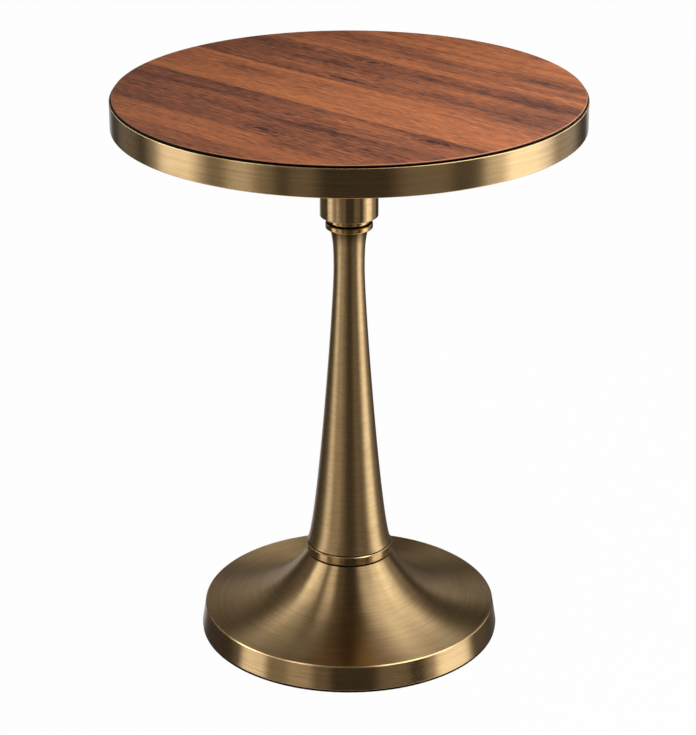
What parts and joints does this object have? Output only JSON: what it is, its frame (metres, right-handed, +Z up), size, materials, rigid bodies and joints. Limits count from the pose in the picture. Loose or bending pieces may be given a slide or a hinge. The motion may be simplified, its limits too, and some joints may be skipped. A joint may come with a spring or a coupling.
{
  "type": "pedestal table",
  "caption": "Round cafe-height pedestal table: walnut stave top with a deep brass edge band, waisted trumpet column with turned rings, and a spun round base with levelling feet.",
  "frame": {"origin": "on the floor under the middle of the table", "axes": "+Z up along the column; -Y towards the picture's camera; +X to its right"},
  "size_m": [0.6, 0.6, 0.747],
  "materials": {
    "walnut": "satin oiled",
    "core_board": "raw",
    "black_sheet": "matte",
    "antique_brass": "brushed round the axis, antique",
    "black_steel": "powder coat",
    "zinc_steel": "zinc plated",
    "cast_ballast": "rough cast",
    "black_rubber": "matte",
    "nylon_pad": "moulded"
  },
  "bodies": {
    "table": {"top_stave_1": "walnut", "top_stave_2": "walnut", "top_stave_3": "walnut", "top_stave_4": "walnut", "top_stave_5": "walnut", "top_stave_6": "walnut", "top_core": "core_board", "backing_sheet": "black_sheet", "edge_band": "antique_brass", "band_screws": "zinc_steel", "mounting_plate": "black_steel", "plate_screws": "zinc_steel", "plate_hub": "black_steel", "collar": "antique_brass", "neck_spool": "antique_brass", "bead_ring": "antique_brass", "column": "antique_brass", "foot_ring": "antique_brass", "base_cover": "antique_brass", "ballast": "cast_ballast", "base_ring": "black_rubber", "foot_inserts": "zinc_steel", "tie_rod": "zinc_steel", "rod_washer": "zinc_steel", "rod_lock_washer": "zinc_steel", "rod_nut": "zinc_steel"},
    "foot_pad_1": {"foot_pad_1": "nylon_pad"},
    "foot_stem_1": {"foot_stem_1": "zinc_steel"},
    "foot_pad_2": {"foot_pad_2": "nylon_pad"},
    "foot_stem_2": {"foot_stem_2": "zinc_steel"},
    "foot_pad_3": {"foot_pad_3": "nylon_pad"},
    "foot_stem_3": {"foot_stem_3": "zinc_steel"},
    "foot_pad_4": {"foot_pad_4": "nylon_pad"},
    "foot_stem_4": {"foot_stem_4": "zinc_steel"}
  },
  "joints": [
    {"name": "foot_1_travel", "type": "slide", "parent": "table", "child": "foot_pad_1", "axis": [0, 0, -1], "range_m": [0, 0.01]},
    {"name": "foot_1_turn", "type": "hinge", "parent": "foot_pad_1", "child": "foot_stem_1", "pos_m": [0.09899, 0.09899, 0], "axis": [0, 0, -1], "range_deg": [0, 2400]},
    {"name": "foot_2_travel", "type": "slide", "parent": "table", "child": "foot_pad_2", "axis": [0, 0, -1], "range_m": [0, 0.01]},
    {"name": "foot_2_turn", "type": "hinge", "parent": "foot_pad_2", "child": "foot_stem_2", "pos_m": [-0.09899, 0.09899, 0], "axis": [0, 0, -1], "range_deg": [0, 2400]},
    {"name": "foot_3_travel", "type": "slide", "parent": "table", "child": "foot_pad_3", "axis": [0, 0, -1], "range_m": [0, 0.01]},
    {"name": "foot_3_turn", "type": "hinge", "parent": "foot_pad_3", "child": "foot_stem_3", "pos_m": [-0.09899, -0.09899, 0], "axis": [0, 0, -1], "range_deg": [0, 2400]},
    {"name": "foot_4_travel", "type": "slide", "parent": "table", "child": "foot_pad_4", "axis": [0, 0, -1], "range_m": [0, 0.01]},
    {"name": "foot_4_turn", "type": "hinge", "parent": "foot_pad_4", "child": "foot_stem_4", "pos_m": [0.09899, -0.09899, 0], "axis": [0, 0, -1], "range_deg": [0, 2400]}
  ],
  "couplings": [
    {"joint": "foot_1_turn", "follows": "foot_1_travel", "rad_per_m": 4188.8},
    {"joint": "foot_2_turn", "follows": "foot_2_travel", "rad_per_m": 4188.8},
    {"joint": "foot_3_turn", "follows": "foot_3_travel", "rad_per_m": 4188.8},
    {"joint": "foot_4_turn", "follows": "foot_4_travel", "rad_per_m": 4188.8}
  ]
}
